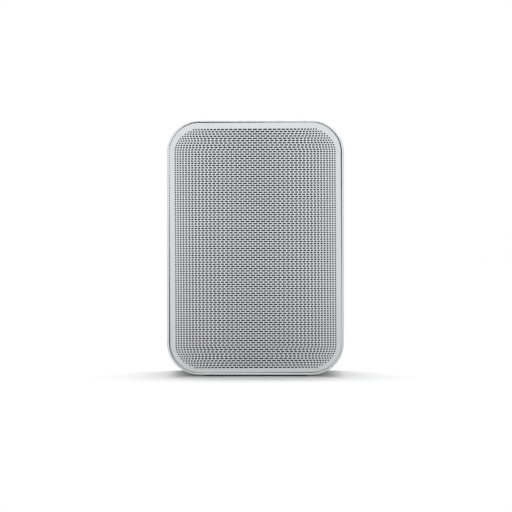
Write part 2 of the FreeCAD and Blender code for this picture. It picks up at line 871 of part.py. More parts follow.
def power_transformer():
    """A bobbin with a core that wraps round it."""
    x = -board_half_width * power_part_share
    bobbin = block(transformer_width, transformer_height, board_front - transformer_depth, board_front, x,
                   power_board_z)
    core_back = board_front - transformer_core_step
    core = block(transformer_core, transformer_height + 2 * transformer_core_overhang,
                 core_back - transformer_depth, core_back, x, power_board_z)
    return bobbin.fuse(core).removeSplitter()


def reservoir_capacitor():
    can = rod(capacitor_radius, board_front - capacitor_length, board_front, 0.0, power_board_z)
    return can.makeFillet(capacitor_edge_radius, edges_at(can, board_front - capacitor_length))


def amplifier_heatsink():
    x = board_half_width * power_part_share
    base = block(heatsink_width, heatsink_height, board_front - heatsink_base, board_front, x, power_board_z)
    pitch = (heatsink_width - heatsink_fin) / (heatsink_fin_count - 1)
    fins = [block(heatsink_fin, heatsink_height, board_front - heatsink_depth, board_front - heatsink_base,
                  x + (index - (heatsink_fin_count - 1) / 2) * pitch, power_board_z)
            for index in range(heatsink_fin_count)]
    return base.fuse(fins).removeSplitter()


# Rear panel and sockets

def socket_places():
    """The middle of each socket along the panel, with equal spaces between them."""
    widths = {"mains_inlet": inlet_width, "usb_shell": usb_width, "ethernet_socket": ethernet_width,
              "line_in_socket": jack_block, "headphone_socket": jack_block}
    space = (window_width - sum(widths.values())) / (len(widths) + 1)
    places = {}
    x = -window_width / 2
    for name, width in widths.items():
        places[name] = x + space + width / 2
        x += space + width
    return places


sockets = socket_places()
socket_bottom = board_back + socket_floor


def figure_eight(y0, y1, x):
    lobes = [rod(inlet_lobe_radius, y0, y1, x + side * inlet_lobe_offset, panel_z) for side in (-1, 1)]
    return lobes[0].fuse(lobes[1]).removeSplitter()


def mains_inlet():
    x = sockets["mains_inlet"]
    body = slab(inlet_width, inlet_height, inlet_height / 2, board_back, panel_face, x, panel_z)
    return body.cut(figure_eight(socket_bottom, panel_face, x))


def mains_pins():
    x = sockets["mains_inlet"]
    pins = []
    for side in (-1, 1):
        tip = panel_face - inlet_pin_setback
        pin = rod(inlet_pin_radius, socket_bottom, tip, x + side * inlet_pin_offset, panel_z)
        pins.append(pin.makeFillet(inlet_pin_radius / 2, edges_at(pin, tip)))
    return pins


def jack_socket(x):
    """A stereo jack: a moulded block with a round collar in the panel."""
    body = block(jack_block, jack_block, board_back, panel_back - seat_clearance, x, panel_z)
    body = body.fuse(rod(jack_collar_radius, panel_back - overrun, panel_face, x, panel_z))
    return body.cut(rod(jack_bore_radius, socket_bottom, panel_face, x, panel_z)).removeSplitter()


def usb_shell():
    x = sockets["usb_shell"]
    shell = block(usb_width, usb_height, board_back, panel_face, x, panel_z)
    mouth = block(usb_width - 2 * usb_sheet, usb_height - 2 * usb_sheet, board_back, panel_face, x, panel_z)
    return shell.cut(mouth)


def usb_tongue():
    """The moulded insulator in the shell: a plug at the back and a tongue that carries the contacts."""
    x = sockets["usb_shell"]
    inside = usb_sheet + glue_line
    plug = block(usb_width - 2 * inside, usb_height - 2 * inside, board_back, socket_bottom, x, panel_z)
    top = panel_z + usb_height / 2 - inside
    tongue = block(usb_tongue_width, usb_tongue_sheet, socket_bottom - overrun,
                   panel_face - inlet_pin_setback, x, top - usb_sheet - usb_tongue_sheet / 2)
    return plug.fuse(tongue).removeSplitter()


def ethernet_socket():
    x = sockets["ethernet_socket"]
    body = block(ethernet_width, ethernet_height, board_back, panel_face, x, panel_z)
    port = block(ethernet_port_width, ethernet_port_height, socket_bottom, panel_face, x,
                 panel_z + ethernet_latch_height / 2)
    latch = block(ethernet_latch_width, ethernet_latch_height, socket_bottom, panel_face, x,
                  panel_z - ethernet_port_height / 2)
    return body.cut([port, latch])


def rear_panel():
    """The panel in the window, with a guide behind it that steadies the network socket."""
    plate = slab(panel_width, panel_height, panel_corner_radius, panel_back, panel_face, z=panel_z)
    grow = 2 * seat_clearance
    guide = grow + 2 * guide_wall
    plate = plate.fuse(block(ethernet_width + guide, ethernet_height + guide, socket_bottom, panel_face,
                             sockets["ethernet_socket"], panel_z))
    cuts = [slab(inlet_width + grow, inlet_height + grow, inlet_height / 2 + seat_clearance,
                 panel_back, panel_face, sockets["mains_inlet"], panel_z),
            block(usb_width + grow, usb_height + grow, panel_back, panel_face, sockets["usb_shell"], panel_z),
            block(ethernet_width + grow, ethernet_height + grow, socket_bottom, panel_face,
                  sockets["ethernet_socket"], panel_z)]
    cuts += [rod(jack_collar_radius + seat_clearance, panel_back, panel_face, sockets[name], panel_z)
             for name in ("line_in_socket", "headphone_socket")]
    cuts += [countersunk(board_screw_radius, panel_thickness, seat_clearance, panel_face, x, z)
             for x, z in panel_screw_places]
    return plate.cut(cuts).removeSplitter()


def rear_panel_screws():
    return [countersunk(board_screw_radius, board_screw_length, 0.0, panel_face, x, z)
            for x, z in panel_screw_places]


def mount_insert():
    """A brass insert moulded into the back, threaded for a bracket or a stand."""
    body = rod(insert_radius, insert_end, insert_face, 0.0, mount_z)
    return body.cut(rod(insert_thread_radius, insert_face - insert_thread_length, insert_face, 0.0, mount_z))


# Keys on the top

def key_panel():
    plate = lying(key_panel_width, key_panel_depth, key_panel_depth / 2,
                  key_floor, key_floor + key_panel_thickness)
    holes = [post(key_radius + slide_clearance, key_floor, body_top, x) for x in key_places]
    holes.append(post(light_pipe_radius + glue_line, key_floor, body_top, light_pipe_x))
    return plate.cut(holes)


def key_button(x):
    """A round cap with a flange under the panel and a pip that presses the switch."""
    top = body_top - key_dip
    cap = post(key_radius, key_floor - key_flange_thickness, top, x)
    cap = cap.makeFillet(key_edge_radius, edges_at_height(cap, top))
    flange_top = key_floor - glue_line
    flange = post(key_radius + key_flange, flange_top - key_flange_thickness, flange_top, x)
    pip = post(key_pip_radius, stem_top, key_floor - key_flange_thickness, x)
    return cap.fuse([flange, pip]).removeSplitter()


def switch_stem(x):
    return post(stem_radius, switch_top - stem_seat, stem_top, x)


def key_switches():
    switches = []
    for x in key_places:
        body = Part.makeBox(switch_side, switch_side, switch_height,
                            point(x - switch_side / 2, -switch_side / 2, key_board_top))
        well = switch_top - stem_seat - key_travel - seat_clearance
        switches.append(body.cut(post(stem_radius + glue_line, well, switch_top, x)))
    return switches


def key_board():
    width = 2 * (key_boss_x + key_boss_radius + seat_clearance)
    plate = lying(width, key_board_depth, key_boss_radius, key_board_bottom, key_board_top)
    hole = board_screw_radius + seat_clearance
    return plate.cut([post(hole, key_board_bottom, key_board_top, side * key_boss_x) for side in (-1, 1)])


def key_board_screws():
    screws = []
    for side in (-1, 1):
        solid = screw(board_screw_radius, board_screw_length, 0.0, 0.0, 0.0)
        solid.rotate(point(0, 0), point(1, 0), 90.0)
        solid.translate(point(side * key_boss_x, 0.0, key_board_bottom))
        screws.append(solid)
    return screws


def status_led():
    return Part.makeBox(led_side, led_side, led_height,
                        point(light_pipe_x - led_side / 2, -led_side / 2, key_board_top))


def status_light_pipe():
    """A clear rod from the lamp on the board up into the panel, with a collar under the panel."""
    foot = key_board_top + led_height + seat_clearance
    pipe = post(light_pipe_radius, foot, key_floor + key_panel_thickness, light_pipe_x)
    collar = post(light_pipe_radius + light_pipe_collar, key_floor - light_pipe_collar_height, key_floor,
                  light_pipe_x)
    return pipe.fuse(collar).removeSplitter()


# All pieces by name

def pieces():
    made = {make.__name__: make() for make in (
        cabinet, base_pad, front_baffle, baffle_gasket, baffle_screws,
        front_grille, grille_cloth, grille_frame,
        woofer_basket, woofer_gasket, woofer_screws, woofer_cone, woofer_dust_cap, woofer_surround,
        woofer_spider, woofer_coil_former, woofer_coil_winding, woofer_front_plate, woofer_magnet, woofer_yoke,
        tweeter_faceplate, tweeter_dome, tweeter_surround, tweeter_coil_former, tweeter_coil_winding,
        tweeter_pole_plate, tweeter_magnet, tweeter_cup, tweeter_screws,
        radio_module, power_transformer, reservoir_capacitor, amplifier_heatsink,
        mains_inlet, mains_pins, usb_shell, usb_tongue, ethernet_socket,
        rear_panel, rear_panel_screws, mount_insert,
        key_panel, key_switches, key_board, key_board_screws, status_led, status_light_pipe)}
    made["main_board"] = board(main_board_bottom, main_board_height, main_standoffs)
    made["main_board_screws"] = board_screws(main_standoffs)
    made["power_board"] = board(power_board_bottom, power_board_height, power_standoffs)
    made["power_board_screws"] = board_screws(power_standoffs)
    for name in ("line_in_socket", "headphone_socket"):
        made[name] = jack_socket(sockets[name])
    for name, x in zip(key_names, key_places):
        made[name + "_button"] = key_button(x)
        made[name + "_stem"] = switch_stem(x)
    return made


def export():
    os.makedirs("parts", exist_ok=True)
    for name, made in pieces().items():
        shapes = made if isinstance(made, list) else [made]
        solids = [solid for shape in shapes for solid in shape.Solids]
        shape = solids[0] if len(solids) == 1 else Part.makeCompound(solids)
        shape.exportStep(os.path.join("parts", name + ".step"))


export()
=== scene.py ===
"""Looks of a compact wireless speaker: an upright white box with a slotted metal front.

Pieces are drawn in millimetres and become metres as they are finished. +Z is up and the front faces -Y.
"""

import json
import math

import bmesh
import bpy
from mathutils import Matrix, Vector


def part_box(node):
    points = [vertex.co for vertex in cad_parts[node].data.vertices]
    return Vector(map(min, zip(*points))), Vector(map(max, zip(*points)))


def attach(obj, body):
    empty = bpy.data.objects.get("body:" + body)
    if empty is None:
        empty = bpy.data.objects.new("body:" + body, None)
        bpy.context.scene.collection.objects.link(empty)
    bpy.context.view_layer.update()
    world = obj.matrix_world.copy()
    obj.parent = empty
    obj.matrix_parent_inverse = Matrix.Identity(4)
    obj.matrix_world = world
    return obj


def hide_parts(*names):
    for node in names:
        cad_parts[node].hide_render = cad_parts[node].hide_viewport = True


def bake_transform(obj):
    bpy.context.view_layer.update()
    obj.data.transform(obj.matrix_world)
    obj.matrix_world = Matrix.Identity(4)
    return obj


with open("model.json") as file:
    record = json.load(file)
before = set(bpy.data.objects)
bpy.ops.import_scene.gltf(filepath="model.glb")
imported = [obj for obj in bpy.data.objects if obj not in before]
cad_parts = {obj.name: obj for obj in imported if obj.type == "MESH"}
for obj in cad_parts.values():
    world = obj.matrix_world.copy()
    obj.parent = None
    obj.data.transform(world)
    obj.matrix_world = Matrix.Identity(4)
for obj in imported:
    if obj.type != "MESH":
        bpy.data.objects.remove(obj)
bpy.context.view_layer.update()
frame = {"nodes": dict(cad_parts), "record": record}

MM = 0.001

# Lengths in millimetres below which two points of a drawing count as one place
near = 0.001
merge_distance = 0.0005


def corners(node):
    """The lowest and the highest corner of a CAD node, in millimetres."""
    return [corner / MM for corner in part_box(node)]


def middle_of(node):
    low, high = corners(node)
    return (low + high) / 2


def size_of(node):
    low, high = corners(node)
    return high - low


# Metal front, which sits a little low and turned in its mouth
front_y = corners("front_grille")[0].y
front_middle = middle_of("front_grille").z
plate_width = size_of("front_grille").x
plate_height = size_of("front_grille").z
plate_corner = 21.1
plate_sheet = 0.8
plate_return = 4.0
plate_edge = 0.5
plate_drop = 0.2
plate_turn_deg = 0.285
edge_steps = 5
corner_steps = 20

# Slots of the front: long in the middle of a row and short at its ends.
# The field's corners are quarter ellipses that reach a little past the last row
slot_rows = 107
row_pitch = 1.5843
field_drop = 0.55
slot_reach = 56.3
corner_across = 25.0
corner_up = 18.0
corner_over = 2.16
slot_mean_pitch = 2.68
odd_row_inset = 0.1
slot_height = 1.04
slot_land = 0.6
slot_stretch = 0.3755
slot_sides = 8
field_margin = 1.3
row_cuts = 20
slot_rise = row_pitch * (slot_rows - 1) / 2

# Cloth behind the front
cloth_width = size_of("grille_cloth").x
cloth_height = size_of("grille_cloth").z
cloth_corner = 20.0
cloth_front = corners("grille_cloth")[0].y
cloth_thickness = 0.25

# Pad under the body
pad_width = size_of("base_pad").x
pad_depth = size_of("base_pad").y
pad_middle = middle_of("base_pad").y
pad_corner = 9.0
pad_corner_steps = 10
pad_height = size_of("base_pad").z
pad_edge = 0.3
pad_edge_steps = 4
groove_inset = 4.5
groove_slope = 0.35
groove_floor = 1.1
groove_depth = 0.45

# Drivers
woofer_z = middle_of("woofer_cone").z
tweeter_z = middle_of("tweeter_dome").z
driver_steps = 96
roll_steps = 14
woofer_roll_size = {"y": -25.05, "inner": 30.65, "middle": 35.25, "outer": 40.2, "roll": 2.5, "sheet": 0.5}
tweeter_roll_size = {"y": -22.3, "inner": 12.45, "middle": 13.55, "outer": 16.5, "roll": 0.7, "sheet": 0.4}
spider_y = -9.4
spider_inner = 10.35
spider_rolls_start = 12.65
spider_rolls_end = 24.7
spider_outer = 28.0
spider_rolls = 4
spider_roll_steps = 12
spider_rise = 0.75
spider_sheet = 0.4

# Back
panel_face = corners("rear_panel")[1].y
panel_z = middle_of("rear_panel").z
screw_x = 48.0
screw_radius = 1.25
screw_head = 2.1875
screw_length = 8.0
screw_steps = 32
recess_size = 2.5
recess_depth = 0.9
recess_taper = 0.6
jack_places = [middle_of(node).x for node in ("line_in_socket", "headphone_socket")]
jack_bore = 1.8
jack_ring = 2.6
jack_ring_depth = 0.5
jack_ring_edge = 0.15
jack_steps = 40
network_x = middle_of("ethernet_socket").x
network_wires = 8
network_pitch = 1.02
network_wire = {"width": 0.45, "length": 9.2, "height": 0.3, "edge": 0.08}
network_wire_y = 28.6
network_wire_rise = 3.35
network_wire_tilt_deg = 13.0
data_x = middle_of("usb_shell").x
data_strips = 4
data_pitch = 2.4
data_strip = {"width": 1.0, "length": 8.2, "height": 0.12, "edge": 0.04}
data_strip_y = 28.4
data_strip_drop = 0.07

# Thread of the insert. Its width and its start are shares of the pitch
insert_z = middle_of("mount_insert").z
insert_face = corners("mount_insert")[1].y
thread_radius = 3.175
thread_pitch = 1.27
thread_turns = 6
thread_steps = 24
thread_root = 0.1
thread_crest = 0.6
thread_half_width = 0.42
thread_start = 0.7

# Keys
key_pitch = middle_of("volume_up_button").x
key_top = corners("play_button")[1].z
mark_rise = 0.05
mark_bar = 0.55
mark_length = 3.2
triangle_radius = 1.15
triangle_x = -0.9
stroke_length = 2.0
stroke_places = (0.85, 1.75)


class Amount:
    """An output of a shader node. Arithmetic on it adds Math nodes."""

    def __init__(self, finish, socket):
        self.finish = finish
        self.socket = socket

    def __add__(self, other):
        return self.finish.math("ADD", self, other)

    def __sub__(self, other):
        return self.finish.math("SUBTRACT", self, other)

    def __rsub__(self, other):
        return self.finish.math("SUBTRACT", other, self)

    def __mul__(self, other):
        return self.finish.math("MULTIPLY", self, other)

    __radd__ = __add__
    __rmul__ = __mul__


class Finish:
    """The nodes of one material, or of the sky."""

    def __init__(self, owner):
        owner.use_nodes = True
        self.owner = owner
        self.tree = owner.node_tree
        self.tree.nodes.clear()

    def node(self, kind, settings=None, sockets=None, output=0):
        """Adds a node: its settings first, then the values or links of its sockets."""
        made = self.tree.nodes.new(kind)
        for name, value in (settings or {}).items():
            setattr(made, name, value)
        for name, value in (sockets or {}).items():
            if isinstance(value, Amount):
                self.tree.links.new(value.socket, made.inputs[name])
            else:
                made.inputs[name].default_value = value
        return Amount(self, made.outputs[output]) if len(made.outputs) else None

    def math(self, operation, *values):
        return self.node("ShaderNodeMath", {"operation": operation}, dict(enumerate(values)))

    def place(self, stretch=(1.0, 1.0, 1.0), turn=(0.0, 0.0, 0.0)):
        """Object coordinates, shrunk along an axis by a factor below one, and turned."""
        spot = self.node("ShaderNodeTexCoord", output="Object")
        return self.node("ShaderNodeMapping", {}, {"Vector": spot, "Scale": stretch, "Rotation": turn})

    def noise(self, size, detail=2.0, stretch=(1.0, 1.0, 1.0)):
        """Noise with lumps of about this size in millimetres."""
        sockets = {"Vector": self.place(stretch), "Scale": 1 / (size * MM), "Detail": detail}
        return self.node("ShaderNodeTexNoise", {}, sockets)

    def bands(self, direction, pitch, wobble=0.0):
        """Ridges across an axis, at a pitch in millimetres."""
        sockets = {"Vector": self.place(), "Scale": math.pi / (10 * pitch * MM), "Distortion": wobble}
        return self.node("ShaderNodeTexWave", {"bands_direction": direction}, sockets)

    def between(self, share, first, second):
        """A colour that runs from the first to the second."""
        return self.node("ShaderNodeMix", {"data_type": "RGBA"}, {0: share, 6: first, 7: second}, 2)

    def relief(self, height, depth):
        """A bump of this depth in millimetres."""
        return self.node("ShaderNodeBump", {}, {"Height": height, "Distance": depth * MM})

    def surface(self, sockets):
        shader = self.node("ShaderNodeBsdfPrincipled", {}, sockets)
        self.node("ShaderNodeOutputMaterial", {}, {"Surface": shader})
        return self.owner


def material(slot):
    return Finish(bpy.data.materials.new(slot + "_finish"))


def tone(red, green, blue, share=1.0):
    return (red * share, green * share, blue * share, 1.0)


def moulded(slot, colour, roughness, grain, depth, **more):
    """Moulded plastic with a fine eroded grain, a little uneven in colour and gloss."""
    finish = material(slot)
    cloud = finish.noise(24.0)
    fine = finish.noise(grain, 3.0)
    return finish.surface({
        "Base Color": finish.between(cloud, tone(*colour), tone(*colour, 0.96)),
        "Roughness": cloud * 0.06 + fine * 0.08 + roughness,
        "Normal": finish.relief(fine, depth), **more})


def coated(slot, colour, roughness, grain, depth):
    """Painted or plated sheet with the slight orange peel of a sprayed coat."""
    finish = material(slot)
    peel = finish.noise(grain, 1.0)
    speck = finish.noise(grain / 4, 2.0)
    return finish.surface({
        "Base Color": finish.between(speck, tone(*colour, 0.97), tone(*colour, 1.02)),
        "Roughness": peel * 0.08 + roughness,
        "Coat Weight": 0.08, "Coat Roughness": 0.4,
        "Normal": finish.relief(peel * 0.7 + speck * 0.3, depth)})


def woven(slot, thread, shade, pitch, depth, sheen):
    """A plain weave in the plane of the front, with painted shade where the threads lie low."""
    finish = material(slot)
    warp = finish.bands("X", pitch, 0.4)
    weft = finish.bands("Z", pitch, 0.4)
    over = warp * weft + (1 - warp) * (1 - weft)
    fluff = finish.noise(pitch / 4, 2.0)
    height = over * 0.75 + fluff * 0.25
    return finish.surface({
        # Painted shade: the weave's low places take the darker colour.
        "Base Color": finish.between(height, tone(*shade), tone(*thread)),
        "Roughness": 0.95 - fluff * 0.15, "Sheen Weight": sheen, "Sheen Roughness": 0.5,
        "Normal": finish.relief(height, depth)})


def metal(slot, colour, roughness, grain, stretch, depth):
    """Bare or plated metal with drawn or turned marks."""
    finish = material(slot)
    marks = finish.noise(grain, 4.0, stretch)
    dull = finish.noise(9.0, 2.0)
    return finish.surface({
        "Base Color": finish.between(dull, tone(*colour), tone(*colour, 0.86)),
        "Metallic": 1.0, "Roughness": marks * 0.16 + dull * 0.08 + roughness,
        "Normal": finish.relief(marks, depth)})


def rubber(slot, colour, grain, depth):
    """Rubber or foam: matt, with fine pores."""
    finish = material(slot)
    pores = finish.node("ShaderNodeTexVoronoi", {}, {"Vector": finish.place(), "Scale": 1 / (grain * MM)})
    dust = finish.noise(7.0, 4.0)
    return finish.surface({
        "Base Color": finish.between(dust, tone(*colour), tone(*colour, 1.35)),
        "Roughness": dust * 0.14 + 0.74,
        "Normal": finish.relief(pores * 0.6 + dust * 0.4, depth)})


def pulp(slot, colour):
    """Pressed paper with fibres that lie all ways."""
    finish = material(slot)
    fibres = finish.noise(1.4, 6.0, (1.0, 0.3, 0.35)) * 0.5 + finish.noise(1.4, 6.0, (0.35, 0.3, 1.0)) * 0.5
    return finish.surface({
        "Base Color": finish.between(fibres, tone(*colour, 0.75), tone(*colour, 1.4)),
        "Roughness": fibres * 0.2 + 0.72, "Normal": finish.relief(fibres, 0.08)})


def wound(slot, colour, gap_shade, direction, pitch, roughness, metallic):
    """Turns of wire or tape side by side, with painted shade in the grooves between them."""
    finish = material(slot)
    turns = finish.bands(direction, pitch)
    grime = finish.noise(3.0, 3.0)
    return finish.surface({
        # Painted shade: the grooves between turns take the dark gap colour.
        "Base Color": finish.between(turns, tone(*gap_shade), tone(*colour)),
        "Metallic": metallic, "Roughness": grime * 0.12 + roughness,
        "Normal": finish.relief(turns, pitch * 0.3)})


def ground_ferrite(slot, colour):
    finish = material(slot)
    specks = finish.noise(0.35, 5.0)
    swirls = finish.noise(2.5, 3.0, (0.12, 1.0, 1.0))
    return finish.surface({
        "Base Color": finish.between(specks, tone(*colour, 0.7), tone(*colour, 1.5)),
        "Roughness": swirls * 0.25 + 0.42, "Normal": finish.relief(specks * 0.5 + swirls * 0.5, 0.03)})


def laminate(slot, mask, track):
    """A board under its green mask, with tracks that show through."""
    finish = material(slot)
    upright = finish.place(turn=(math.pi / 2, 0.0, 0.0))
    lines = finish.node("ShaderNodeTexBrick", {"offset": 0.35, "squash": 1.0}, {
        "Vector": upright, "Color1": tone(*mask), "Color2": tone(*mask, 1.15),
        "Mortar": tone(*track), "Scale": 140.0, "Mortar Size": 0.03})
    weave = finish.bands("X", 0.6) * 0.5 + finish.bands("Z", 0.6) * 0.5
    return finish.surface({
        "Base Color": lines, "Roughness": weave * 0.1 + 0.3, "Coat Weight": 0.3, "Coat Roughness": 0.15,
        "Normal": finish.relief(weave, 0.01)})


def sleeve(slot, colour, stripe, stripe_x):
    """A shrunk sleeve with a paler stripe down one side, from a place in millimetres outwards."""
    finish = material(slot)
    side = finish.node("ShaderNodeSeparateXYZ", {}, {"Vector": finish.place()}, "X")
    marked = finish.math("GREATER_THAN", side, stripe_x * MM)
    wrinkle = finish.noise(2.2, 2.0, (1.0, 0.2, 1.0))
    return finish.surface({
        "Base Color": finish.between(marked, tone(*colour), tone(*stripe)),
        "Roughness": wrinkle * 0.12 + 0.26, "Normal": finish.relief(wrinkle, 0.05)})


def clear_plastic(slot, colour, through):
    finish = material(slot)
    haze = finish.noise(1.2, 2.0)
    return finish.surface({
        "Base Color": finish.between(haze, tone(*colour), tone(*colour, 0.95)),
        "Roughness": haze * 0.08 + 0.16, "Transmission Weight": through, "IOR": 1.49,
        "Normal": finish.relief(haze, 0.01)})


round_marks = (1.0, 1.0, 1.0)
drawn_along_y = (1.0, 0.06, 1.0)
drawn_along_x = (0.06, 1.0, 1.0)

finishes = {
    "shell_white": moulded("shell_white", (0.83, 0.835, 0.84), 0.36, 0.28, 0.012),
    "grille_paint": coated("grille_paint", (0.70, 0.72, 0.735), 0.52, 0.55, 0.012),
    "black_cloth": woven("black_cloth", (0.009, 0.0085, 0.0085), (0.002, 0.002, 0.002), 0.55, 0.12, 0.04),
    "black_plastic": moulded("black_plastic", (0.018, 0.018, 0.0195), 0.42, 0.3, 0.02),
    "pad_rubber": rubber("pad_rubber", (0.028, 0.028, 0.029), 0.35, 0.04),
    "seal_foam": rubber("seal_foam", (0.03, 0.03, 0.03), 0.6, 0.12),
    "basket_enamel": coated("basket_enamel", (0.022, 0.022, 0.022), 0.34, 0.8, 0.02),
    "motor_steel": metal("motor_steel", (0.52, 0.54, 0.56), 0.24, 1.6, drawn_along_x, 0.008),
    "ferrite": ground_ferrite("ferrite", (0.045, 0.045, 0.048)),
    "cone_paper": pulp("cone_paper", (0.035, 0.035, 0.038)),
    "roll_rubber": rubber("roll_rubber", (0.018, 0.018, 0.018), 0.25, 0.015),
    "spider_cloth": woven("spider_cloth", (0.46, 0.31, 0.13), (0.2, 0.12, 0.04), 0.7, 0.1, 0.1),
    "former_film": clear_plastic("former_film", (0.5, 0.24, 0.05), 0.2),
    "coil_copper": wound("coil_copper", (0.62, 0.27, 0.12), (0.12, 0.04, 0.02), "Y", 0.28, 0.28, 1.0),
    "dome_silk": woven("dome_silk", (0.035, 0.035, 0.04), (0.012, 0.012, 0.014), 0.3, 0.03, 0.4),
    "board_laminate": laminate("board_laminate", (0.02, 0.13, 0.06), (0.05, 0.24, 0.1)),
    "heatsink_metal": metal("heatsink_metal", (0.66, 0.67, 0.68), 0.34, 1.2, (1.0, 1.0, 0.05), 0.012),
    "winding_tape": wound("winding_tape", (0.7, 0.52, 0.12), (0.42, 0.28, 0.05), "Z", 3.2, 0.4, 0.0),
    "capacitor_sleeve": sleeve("capacitor_sleeve", (0.02, 0.03, 0.09), (0.45, 0.47, 0.5), 6.0),
    "shield_steel": metal("shield_steel", (0.62, 0.62, 0.61), 0.22, 1.4, drawn_along_x, 0.006),
    "contact_metal": metal("contact_metal", (0.83, 0.64, 0.33), 0.16, 0.8, drawn_along_y, 0.004),
    "insert_brass": metal("insert_brass", (0.72, 0.52, 0.24), 0.2, 0.6, round_marks, 0.008),
    "key_white": moulded("key_white", (0.78, 0.785, 0.79), 0.3, 0.25, 0.008),
    "key_panel_grey": moulded("key_panel_grey", (0.36, 0.37, 0.385), 0.34, 0.3, 0.012),
    "light_clear": clear_plastic("light_clear", (0.86, 0.88, 0.9), 0.75),
    "lamp_white": clear_plastic("lamp_white", (0.86, 0.8, 0.55), 0.1),
    "screw_steel": metal("screw_steel", (0.16, 0.16, 0.17), 0.3, 0.7, round_marks, 0.01),
}


def piece(name, drawing, slot, body="housing", stands_for=(), sharp_deg=35.0):
    """Makes a drawing a piece of the speaker, in metres, with a finish, on a body."""
    bmesh.ops.scale(drawing, vec=(MM, MM, MM), verts=drawing.verts)
    mesh = bpy.data.meshes.new(name)
    drawing.to_mesh(mesh)
    drawing.free()
    mesh.shade_smooth()
    mesh.set_sharp_from_angle(angle=math.radians(sharp_deg))
    mesh.materials.append(finishes[slot])
    made = bpy.data.objects.new(name, mesh)
    bpy.context.collection.objects.link(made)
    if body:
        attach(made, body)
    if stands_for:
        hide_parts(*stands_for)
    return made


def add_drawing(target, drawing):
    """Puts one drawing into another."""
    mesh = bpy.data.meshes.new("drawing")
    drawing.to_mesh(mesh)
    drawing.free()
    target.from_mesh(mesh)
    bpy.data.meshes.remove(mesh)


def turn(drawing, angle_deg, axis):
    bmesh.ops.rotate(drawing, matrix=Matrix.Rotation(math.radians(angle_deg), 3, axis), verts=drawing.verts)


def move(drawing, x, y, z):
    bmesh.ops.translate(drawing, vec=(x, y, z), verts=drawing.verts)


def face_front(drawing, x, y, z):
    """Stands a flat drawing up so that what looked up looks to the front."""
    turn(drawing, 90.0, "X")
    move(drawing, x, y, z)


def face_back(drawing, x, y, z):
    turn(drawing, -90.0, "X")
    move(drawing, x, y, z)


def rounded_face(width, height, radius, steps):
    """A flat face with round corners, about the origin."""
    drawing = bmesh.new()
    bmesh.ops.create_grid(drawing, x_segments=1, y_segments=1, size=0.5)
    bmesh.ops.scale(drawing, vec=(width, height, 1.0), verts=drawing.verts)
    bmesh.ops.bevel(drawing, geom=drawing.verts[:], offset=radius, offset_type="OFFSET", segments=steps,
                    profile=0.5, affect="VERTICES", material=-1)
    return drawing


def new_verts(made):
    return [item for item in made["geom"] if isinstance(item, bmesh.types.BMVert)]


def off_the_cross(drawing, arm):
    """The corner faces of a grid that lie outside a cross with arms of this half width."""
    return [face for face in drawing.faces if min(abs(at) for at in face.calc_center_median()[:2]) > arm]


def edges_between(verts):
    """The edges whose two ends are both among these vertices."""
    chosen = set(verts)
    return list({edge for vert in chosen for edge in vert.link_edges if edge.other_vert(vert) in chosen})


def close_up(drawing):
    """Merges doubles and turns every face outwards."""
    bmesh.ops.remove_doubles(drawing, verts=drawing.verts[:], dist=merge_distance)
    bmesh.ops.recalc_face_normals(drawing, faces=drawing.faces[:])


# Metal front

def row_end(z, margin=0.0):
    """How far a row reaches sideways at a height above the field's middle. The corners are round."""
    into_corner = max(0.0, abs(z) - (slot_rise + corner_over - corner_up))
    share = min(1.0, into_corner / (corner_up + margin))
    return slot_reach - corner_across + (corner_across + margin) * math.sqrt(1 - share ** 2)


def slots_of_row(row, z):
    """The middle and the length of each slot. The pitch falls steadily from the middle to both ends.

    An even row has an even number of lands and an odd row an odd number, so neighbours are staggered."""
    odd = row % 2
    reach = row_end(z)
    spaces = 2 * int((reach - odd * odd_row_inset) / slot_mean_pitch) + odd
    for index in range(spaces + 1):
        u = 2 * index / spaces - 1
        middle = reach * u * (1 + slot_stretch - slot_stretch * abs(u))
        pitch = reach * (1 + slot_stretch - 2 * slot_stretch * abs(u)) * 2 / spaces
        yield middle, pitch - slot_land


def slotted_strip(row):
    """One row of the field as a flat strip with its slots left open."""
    strip = bmesh.new()
    z = (row - (slot_rows - 1) / 2) * row_pitch
    low, high = z - row_pitch / 2, z + row_pitch / 2
    ends = [strip.verts.new((side * row_end(level, field_margin), level, 0.0))
            for side, level in ((-1, low), (1, low), (1, high), (-1, high))]
    border = [strip.edges.new(pair) for pair in zip(ends, ends[1:] + ends[:1])]
    bmesh.ops.subdivide_edges(strip, edges=[border[0], border[2]], cuts=row_cuts)
    half_side = math.pi / slot_sides
    radius = slot_height / 2 / math.cos(half_side)
    for middle, length in slots_of_row(row, z):
        place = Matrix.Translation((middle, z, 0.0)) @ Matrix.Rotation(half_side, 4, "Z")
        slot = bmesh.ops.create_circle(strip, cap_ends=False, radius=radius, segments=slot_sides,
                                       matrix=place)
        for vert in slot["verts"]:
            vert.co.x += math.copysign((length - slot_height) / 2, vert.co.x - middle)
    bmesh.ops.triangle_fill(strip, use_beauty=True, edges=strip.edges[:], normal=(0.0, 0.0, 1.0))
    return strip


def on_field_edge(vert):
    """Whether a vertex lies on the outline of the field, and not round a slot."""
    at_top_or_foot = abs(abs(vert.co.y) - slot_rise - row_pitch / 2) < near
    return at_top_or_foot or abs(vert.co.x) > row_end(vert.co.y, field_margin) - near


def outwards(vert):
    """The direction straight out of the rounded plate at a vertex of its edge."""
    core = (plate_width / 2 - plate_corner, plate_height / 2 - plate_corner)
    nearest = [max(-half, min(half, at)) for half, at in zip(core, vert.co)]
    return Vector((vert.co.x - nearest[0], vert.co.y - nearest[1], 0.0)).normalized()


